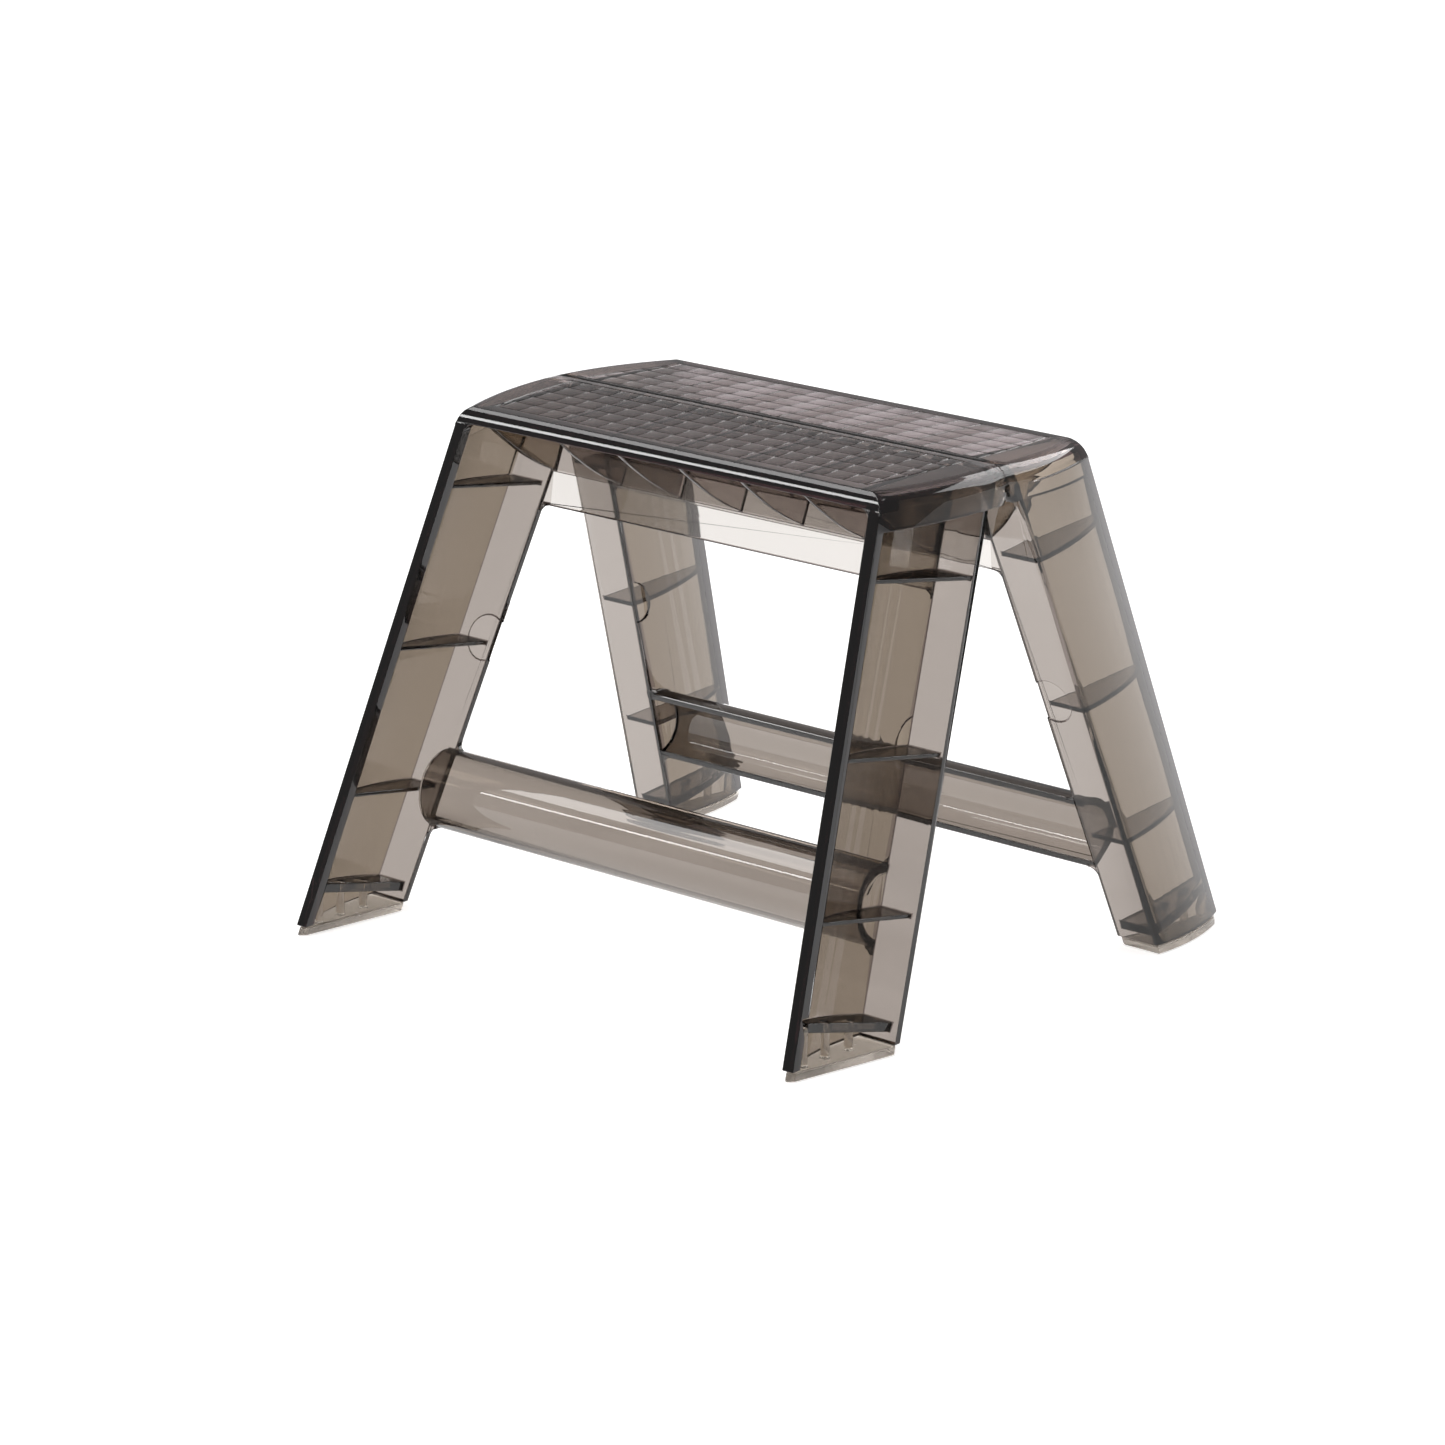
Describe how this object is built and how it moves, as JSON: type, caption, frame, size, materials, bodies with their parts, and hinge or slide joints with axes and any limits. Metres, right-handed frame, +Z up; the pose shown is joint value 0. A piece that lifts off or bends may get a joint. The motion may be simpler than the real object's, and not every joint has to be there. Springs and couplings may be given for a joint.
{
  "type": "folding step stool",
  "caption": "Low folding step stool of clear smoke-tinted moulded plastic: two identical ribbed half frames hinged along the middle of a gridded tread, on soft foot pads.",
  "frame": {"origin": "on the floor under the middle of the tread", "axes": "+X along the hinge line, +Y towards the rear half, +Z up; the front half is on -Y"},
  "size_m": [0.3228, 0.316, 0.2438],
  "materials": {
    "smoke_plastic": "polished clear smoke-tinted moulding",
    "foot_pad": "soft frosted translucent",
    "steel": "ground pin stock"
  },
  "bodies": {
    "front_half": {"front_half_frame": "smoke_plastic", "foot_pad_front_left": "foot_pad", "foot_pad_front_right": "foot_pad", "hinge_pin_left": "steel", "hinge_pin_right": "steel"},
    "rear_half": {"rear_half_frame": "smoke_plastic", "foot_pad_rear_left": "foot_pad", "foot_pad_rear_right": "foot_pad"}
  },
  "joints": [
    {"name": "centre_hinge", "type": "hinge", "parent": "front_half", "child": "rear_half", "pos_m": [0, 0, 0.234], "axis": [1, 0, 0], "range_deg": [-41.5, 0]}
  ]
}
